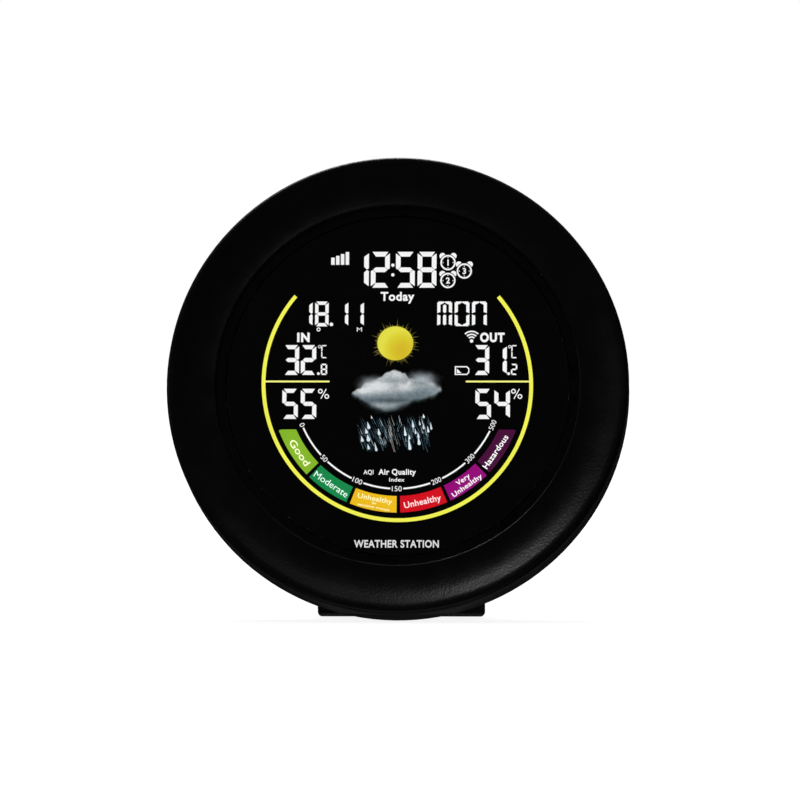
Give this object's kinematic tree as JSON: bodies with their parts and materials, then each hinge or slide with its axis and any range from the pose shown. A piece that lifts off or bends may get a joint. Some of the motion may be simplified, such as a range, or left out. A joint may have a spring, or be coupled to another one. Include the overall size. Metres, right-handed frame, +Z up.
{
  "type": "home weather station",
  "caption": "Round desk weather station with a dished black bezel, glossy window over a colour display, fold-out stand and buttons on the back.",
  "frame": {"origin": "on the table, in the middle of the footprint box, which spans from the bezel to the stand foot", "axes": "+Z up from the table; -Y out of the front, which leans back from upright; +X to the right as seen from the front"},
  "size_m": [0.18, 0.0618, 0.1802],
  "materials": {
    "bezel_plastic": "satin, very fine moulded grain",
    "housing_plastic": "fine spark-eroded grain",
    "window_clear": "high gloss clear acrylic",
    "adhesive": "matt foam tape",
    "black_print": "gloss black print",
    "polarizer": "dark film",
    "display_glass": "polished glass",
    "white_film": "matt film",
    "clear_acrylic": "polished acrylic",
    "white_plastic": "matt moulded",
    "circuit_board": "solder mask",
    "led_resin": "phosphor resin",
    "steel": "zinc plated",
    "black_screw": "blackened steel",
    "ribbon_film": "polyimide film",
    "chip_resin": "moulded epoxy",
    "tinned_shield": "tin plated",
    "inner_plastic": "matt moulded",
    "cell_jacket": "printed sleeve, plain",
    "label_film": "silver film",
    "stand_plastic": "fine grain",
    "pad_rubber": "matt",
    "button_plastic": "satin"
  },
  "bodies": {
    "body": {"front_bezel": "bezel_plastic", "rear_housing": "housing_plastic", "lens": "window_clear", "lens_tape": "adhesive", "display_mask": "black_print", "front_polarizer": "polarizer", "lcd_front_glass": "display_glass", "lcd_rear_glass": "display_glass", "diffuser": "white_film", "light_guide": "clear_acrylic", "reflector": "white_film", "display_frame": "white_plastic", "backlight_strip": "circuit_board", "backlight_leds": "led_resin", "frame_screws": "steel", "lcd_ribbon": "ribbon_film", "ribbon_connector": "white_plastic", "main_board": "circuit_board", "board_screws": "steel", "controller_chips": "chip_resin", "wireless_module": "tinned_shield", "climate_sensor": "white_plastic", "buzzer": "inner_plastic", "tact_switches": "inner_plastic", "power_socket": "inner_plastic", "socket_pin": "tinned_shield", "battery_cells": "cell_jacket", "battery_springs": "tinned_shield", "battery_plates": "tinned_shield", "case_screws": "black_screw", "rating_label": "label_film", "hinge_pin": "steel"},
    "stand": {"stand": "stand_plastic", "stand_pad": "pad_rubber"},
    "battery_door": {"battery_door": "housing_plastic"},
    "set_button": {"set_button": "button_plastic"},
    "mode_button": {"mode_button": "button_plastic"},
    "up_button": {"up_button": "button_plastic"},
    "down_button": {"down_button": "button_plastic"},
    "alarm_button": {"alarm_button": "button_plastic"},
    "light_button": {"light_button": "button_plastic"}
  },
  "joints": [
    {"name": "stand_fold", "type": "hinge", "parent": "body", "child": "stand", "pos_m": [0, 0.01046, 0.07055], "axis": [1, 0, 0], "range_deg": [-25.39, 0]},
    {"name": "battery_door_lift", "type": "slide", "parent": "body", "child": "battery_door", "axis": [0, 0.9833, -0.1822], "range_m": [0, 0.025]},
    {"name": "set_press", "type": "slide", "parent": "body", "child": "set_button", "axis": [0, -0.9833, 0.1822], "range_m": [0, 0.0008], "stiffness_N_per_m": 400, "springref_m": -0.0003},
    {"name": "mode_press", "type": "slide", "parent": "body", "child": "mode_button", "axis": [0, -0.9833, 0.1822], "range_m": [0, 0.0008], "stiffness_N_per_m": 400, "springref_m": -0.0003},
    {"name": "up_press", "type": "slide", "parent": "body", "child": "up_button", "axis": [0, -0.9833, 0.1822], "range_m": [0, 0.0008], "stiffness_N_per_m": 400, "springref_m": -0.0003},
    {"name": "down_press", "type": "slide", "parent": "body", "child": "down_button", "axis": [0, -0.9833, 0.1822], "range_m": [0, 0.0008], "stiffness_N_per_m": 400, "springref_m": -0.0003},
    {"name": "alarm_press", "type": "slide", "parent": "body", "child": "alarm_button", "axis": [0, -0.9833, 0.1822], "range_m": [0, 0.0008], "stiffness_N_per_m": 400, "springref_m": -0.0003},
    {"name": "light_press", "type": "slide", "parent": "body", "child": "light_button", "axis": [0, -0.9833, 0.1822], "range_m": [0, 0.0008], "stiffness_N_per_m": 400, "springref_m": -0.0003}
  ]
}
